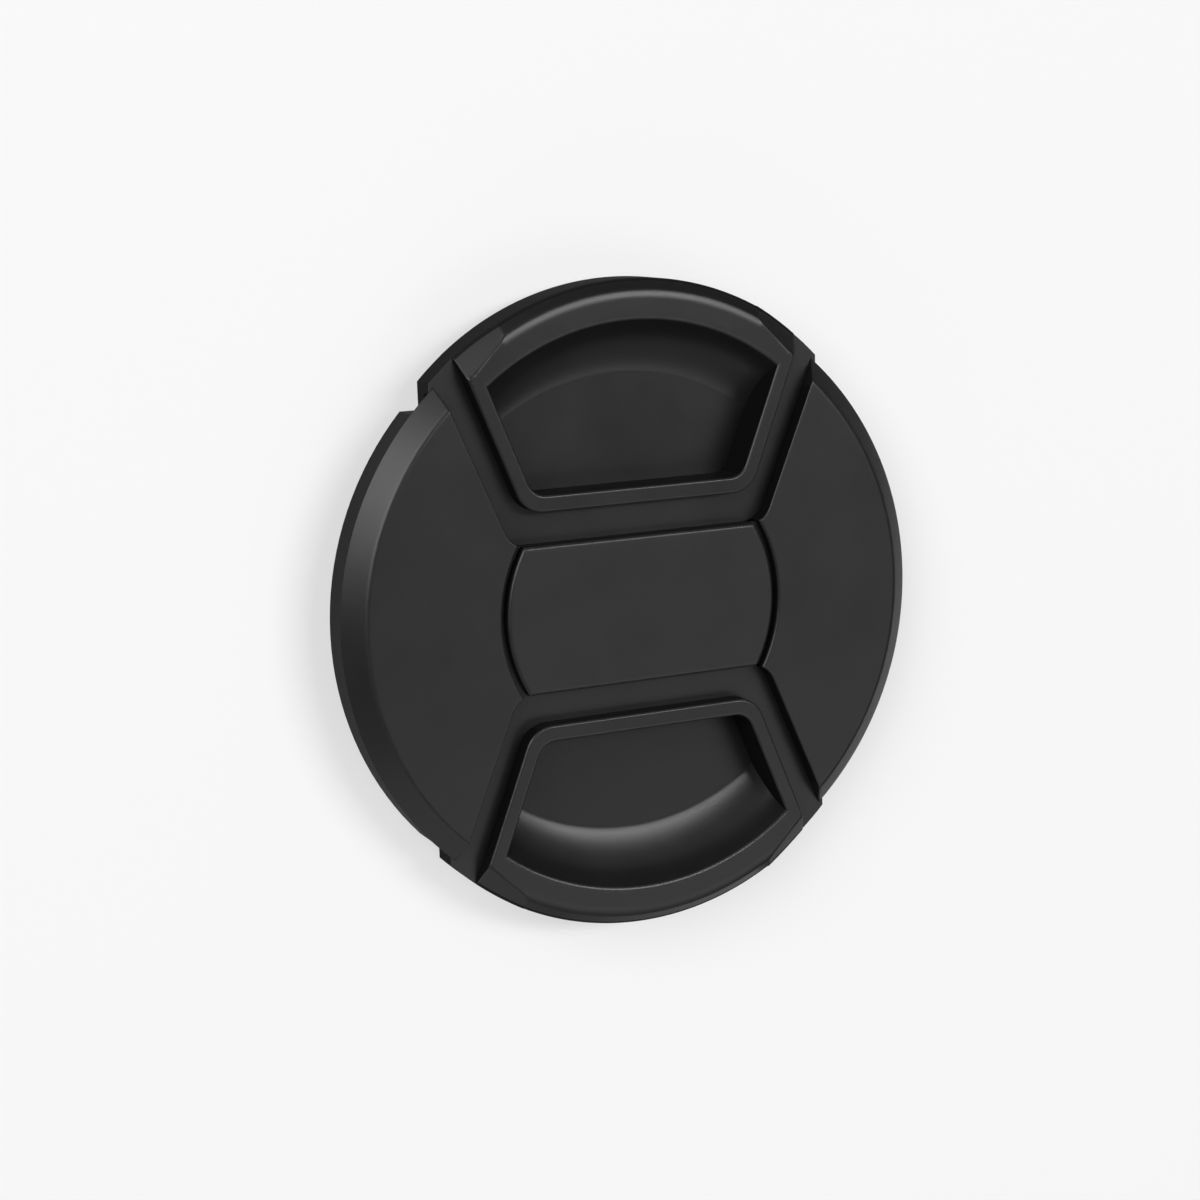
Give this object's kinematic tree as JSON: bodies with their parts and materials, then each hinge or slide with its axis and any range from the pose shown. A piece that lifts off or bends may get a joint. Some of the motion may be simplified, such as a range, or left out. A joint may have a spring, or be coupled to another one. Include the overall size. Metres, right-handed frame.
{
  "type": "camera lens cap",
  "caption": "Round push-on lens cap in black plastic with sprung pinch latches, finger pockets in its face and jaws that grip a filter thread.",
  "frame": {"origin": "middle of the cap's footprint, on the surface it lies on, at the rear edge of the collar", "axes": "+Z out of the front face, +Y towards the upper latch, +X to the right seen from the front"},
  "size_m": [0.06, 0.063, 0.0074],
  "materials": {
    "shell_plastic": "fine matte grain, black",
    "plate_plastic": "fine matte grain, black",
    "latch_plastic": "fine matte grain, black",
    "cover_plastic": "plain moulded, black",
    "spring_steel": "drawn spring wire"
  },
  "bodies": {
    "shell": {"front_shell": "shell_plastic", "centre_plate": "plate_plastic", "back_plate": "cover_plastic", "upper_left_spring": "spring_steel", "upper_right_spring": "spring_steel", "lower_left_spring": "spring_steel", "lower_right_spring": "spring_steel"},
    "upper_latch": {"upper_latch": "latch_plastic"},
    "lower_latch": {"lower_latch": "latch_plastic"}
  },
  "joints": [
    {"name": "upper_latch_slide", "type": "slide", "parent": "shell", "child": "upper_latch", "axis": [0, -1, 0], "range_m": [0, 0.0028], "stiffness_N_per_m": 1200, "springref_m": -0.003, "deforming": ["upper_left_spring", "upper_right_spring"]},
    {"name": "lower_latch_slide", "type": "slide", "parent": "shell", "child": "lower_latch", "axis": [0, 1, 0], "range_m": [0, 0.0028], "stiffness_N_per_m": 1200, "springref_m": -0.003, "deforming": ["lower_left_spring", "lower_right_spring"]}
  ]
}
